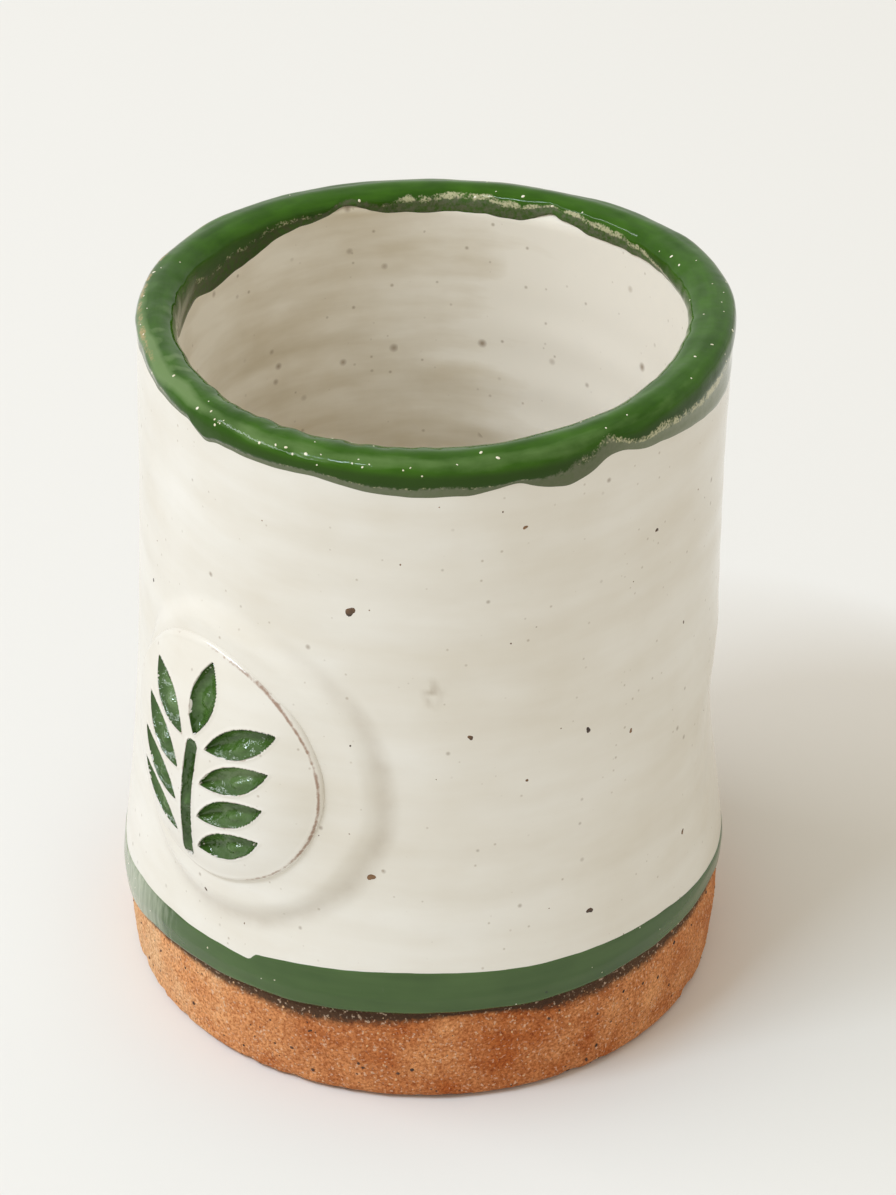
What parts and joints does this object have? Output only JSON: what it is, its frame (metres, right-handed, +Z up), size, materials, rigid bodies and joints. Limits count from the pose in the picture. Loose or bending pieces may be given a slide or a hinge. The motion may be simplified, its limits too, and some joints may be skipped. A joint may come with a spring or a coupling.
{
  "type": "pottery mug",
  "caption": "Hand-thrown handleless pottery mug with white and green glaze coats, a bare clay foot and a domed medallion carved with a leafy sprig.",
  "frame": {"origin": "middle of the flat base, on the surface that the mug stands on", "axes": "+Z up along the mug, -Y out of the front, where the medallion is"},
  "size_m": [0.0879, 0.0893, 0.0973],
  "materials": {
    "bare_clay": "bare fired terracotta with grog, rough and matt",
    "dried_slip": "fired joining slip, matt",
    "white_glaze": "glossy warm white glaze with iron specks",
    "green_glaze": "thick glossy dark green glaze with pale specks",
    "band_green_glaze": "thin satin green glaze"
  },
  "bodies": {
    "root": {"clay_body": "bare_clay", "clay_medallion": "bare_clay", "slip_bed": "dried_slip", "wall_glaze": "white_glaze", "liner_glaze": "white_glaze", "medallion_glaze": "white_glaze", "rim_glaze": "green_glaze", "foot_band_glaze": "band_green_glaze", "stem_glaze": "green_glaze", "tip_leaf_glaze": "green_glaze", "left_leaf_glaze_1": "green_glaze", "left_leaf_glaze_2": "green_glaze", "left_leaf_glaze_3": "green_glaze", "left_leaf_glaze_4": "green_glaze", "right_leaf_glaze_1": "green_glaze", "right_leaf_glaze_2": "green_glaze", "right_leaf_glaze_3": "green_glaze", "right_leaf_glaze_4": "green_glaze"}
  },
  "joints": []
}
